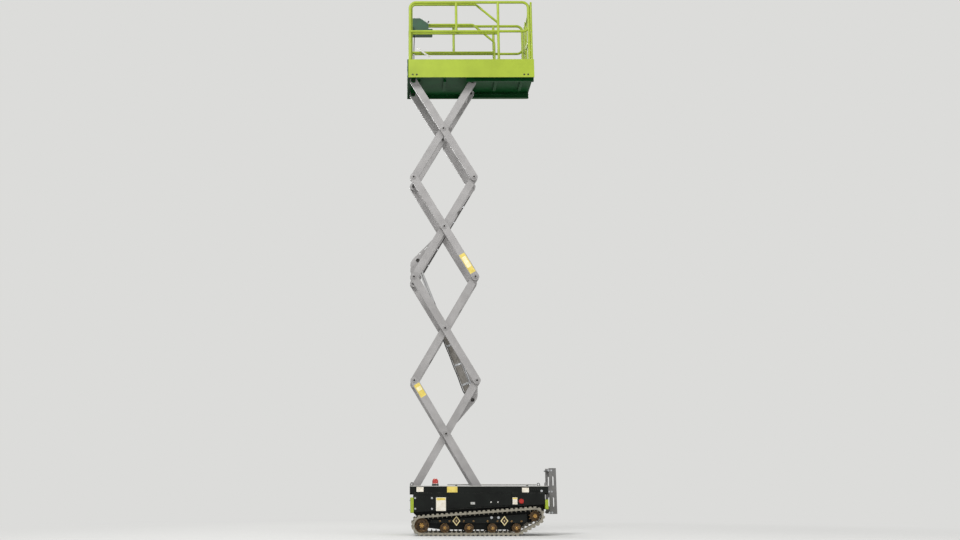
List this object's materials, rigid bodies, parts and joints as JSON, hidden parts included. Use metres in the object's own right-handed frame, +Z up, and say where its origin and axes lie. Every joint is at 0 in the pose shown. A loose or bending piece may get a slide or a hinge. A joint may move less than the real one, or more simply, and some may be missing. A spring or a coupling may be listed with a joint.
{
  "type": "tracked scissor lift",
  "caption": "Crawler scissor lift standing raised: tracked chassis, crossed-arm stack with a lift cylinder, and a guard-railed platform with a sliding deck extension.",
  "frame": {"origin": "on the ground, under the middle of the machine's length and width", "axes": "+X forward, +Y to the machine's left, +Z up"},
  "size_m": [1.934, 1, 7.3278],
  "materials": {
    "arm_paint": "satin grey powder coat",
    "pin_steel": "turned steel, oiled",
    "chassis_paint": "satin black-green paint",
    "rod_chrome": "ground hard chrome",
    "lime_paint": "satin lime powder coat",
    "deck_green": "satin dark green paint",
    "track_rubber": "dusty grey rubber",
    "wheel_paint": "ochre paint, worn",
    "ladder_paint": "grey paint",
    "eye_steel": "grey paint",
    "beacon_lens": "clear red lens",
    "stop_red": "red moulded plastic",
    "black_plastic": "black moulded plastic"
  },
  "bodies": {
    "chassis": {"base_frame": "chassis_paint", "base_pins": "pin_steel", "lower_hull": "chassis_paint", "side_boxes": "chassis_paint", "power_blocks": "chassis_paint", "end_panels": "lime_paint", "service_covers": "chassis_paint", "beacon_base": "black_plastic", "beacon_dome": "beacon_lens", "emergency_stop": "stop_red", "lashing_eyes": "eye_steel", "ladder": "ladder_paint", "track_left": "track_rubber", "track_right": "track_rubber", "front_idlers": "wheel_paint", "drive_sprockets": "wheel_paint", "track_rollers": "wheel_paint", "track_frames": "chassis_paint", "final_drives": "chassis_paint"},
    "inner_1": {"inner_arms_1": "arm_paint", "inner_ties_1": "arm_paint", "lower_bracket": "arm_paint"},
    "outer_1": {"outer_arms_1": "arm_paint", "outer_pins_1": "pin_steel", "base_rollers": "pin_steel"},
    "inner_2": {"inner_arms_2": "arm_paint", "inner_ties_2": "arm_paint"},
    "outer_2": {"outer_arms_2": "arm_paint", "outer_pins_2": "pin_steel"},
    "inner_3": {"inner_arms_3": "arm_paint", "inner_ties_3": "arm_paint", "upper_bracket": "arm_paint"},
    "outer_3": {"outer_arms_3": "arm_paint", "outer_pins_3": "pin_steel"},
    "inner_4": {"inner_arms_4": "arm_paint", "inner_ties_4": "arm_paint", "deck_rollers": "pin_steel"},
    "outer_4": {"outer_arms_4": "arm_paint", "outer_pins_4": "pin_steel"},
    "cylinder": {"cylinder_barrel": "chassis_paint"},
    "cylinder_rod": {"cylinder_rod": "rod_chrome"},
    "platform": {"deck_frame": "deck_green", "deck_pins": "pin_steel", "toe_plates": "lime_paint", "guard_rail_left": "lime_paint", "guard_rail_right": "lime_paint", "rear_rails": "lime_paint"},
    "gate": {"entry_gate": "lime_paint"},
    "extension": {"extension_deck": "lime_paint", "extension_rails": "lime_paint", "control_box": "deck_green"},
    "door_left": {"side_door_left": "chassis_paint"},
    "door_right": {"side_door_right": "chassis_paint"}
  },
  "joints": [
    {"name": "lift", "type": "hinge", "parent": "chassis", "child": "inner_1", "pos_m": [0.87, 0, 0.595], "axis": [0, 1, 0], "range_deg": [-55.3, 0]},
    {"name": "stage_1_cross", "type": "hinge", "parent": "inner_1", "child": "outer_1", "pos_m": [0.45646, 0, 1.29148], "axis": [0, 1, 0], "range_deg": [0, 110.6]},
    {"name": "stage_2_rear_pin", "type": "hinge", "parent": "inner_1", "child": "outer_2", "pos_m": [0.04292, 0, 1.98796], "axis": [0, 1, 0], "range_deg": [0, 110.6]},
    {"name": "stage_2_cross", "type": "hinge", "parent": "outer_2", "child": "inner_2", "pos_m": [0.45646, 0, 2.68444], "axis": [0, 1, 0], "range_deg": [-110.6, 0]},
    {"name": "stage_3_front_pin", "type": "hinge", "parent": "outer_2", "child": "inner_3", "pos_m": [0.87, 0, 3.38092], "axis": [0, 1, 0], "range_deg": [-110.6, 0]},
    {"name": "stage_3_cross", "type": "hinge", "parent": "inner_3", "child": "outer_3", "pos_m": [0.45646, 0, 4.0774], "axis": [0, 1, 0], "range_deg": [0, 110.6]},
    {"name": "stage_4_rear_pin", "type": "hinge", "parent": "inner_3", "child": "outer_4", "pos_m": [0.04292, 0, 4.77388], "axis": [0, 1, 0], "range_deg": [0, 110.6]},
    {"name": "stage_4_cross", "type": "hinge", "parent": "outer_4", "child": "inner_4", "pos_m": [0.45646, 0, 5.47036], "axis": [0, 1, 0], "range_deg": [-110.6, 0]},
    {"name": "platform_pin", "type": "hinge", "parent": "outer_4", "child": "platform", "pos_m": [0.87, 0, 6.16684], "axis": [0, 1, 0], "range_deg": [-55.3, 0]},
    {"name": "cylinder_foot", "type": "hinge", "parent": "inner_1", "child": "cylinder", "pos_m": [0.09666, 0, 1.74075], "axis": [0, 1, 0], "range_deg": [0, 109.51]},
    {"name": "cylinder_stroke", "type": "slide", "parent": "cylinder", "child": "cylinder_rod", "axis": [0.3563, 0, 0.9344], "range_m": [-0.83152, 0]},
    {"name": "deck_extension", "type": "slide", "parent": "platform", "child": "extension", "axis": [1, 0, 0], "range_m": [0, 0.9]},
    {"name": "gate_swing", "type": "hinge", "parent": "platform", "child": "gate", "pos_m": [-0.778, 0.235, 6.66684], "axis": [0, 0, 1], "range_deg": [0, 90]},
    {"name": "left_door", "type": "hinge", "parent": "chassis", "child": "door_left", "pos_m": [0, 0.42, 0.5237], "axis": [1, 0, 0], "range_deg": [0, 85]},
    {"name": "right_door", "type": "hinge", "parent": "chassis", "child": "door_right", "pos_m": [0, -0.42, 0.5237], "axis": [-1, 0, 0], "range_deg": [0, 85]}
  ],
  "couplings": [
    {"joint": "stage_1_cross", "follows": "lift", "ratio": -2},
    {"joint": "stage_2_rear_pin", "follows": "lift", "ratio": -2},
    {"joint": "stage_2_cross", "follows": "lift", "ratio": 2},
    {"joint": "stage_3_front_pin", "follows": "lift", "ratio": 2},
    {"joint": "stage_3_cross", "follows": "lift", "ratio": -2},
    {"joint": "stage_4_rear_pin", "follows": "lift", "ratio": -2},
    {"joint": "stage_4_cross", "follows": "lift", "ratio": 2},
    {"joint": "platform_pin", "follows": "lift", "ratio": 1},
    {"joint": "cylinder_foot", "follows": "lift", "ratio": -1.9802},
    {"joint": "cylinder_stroke", "follows": "lift", "m_per_rad": 0.86143}
  ]
}
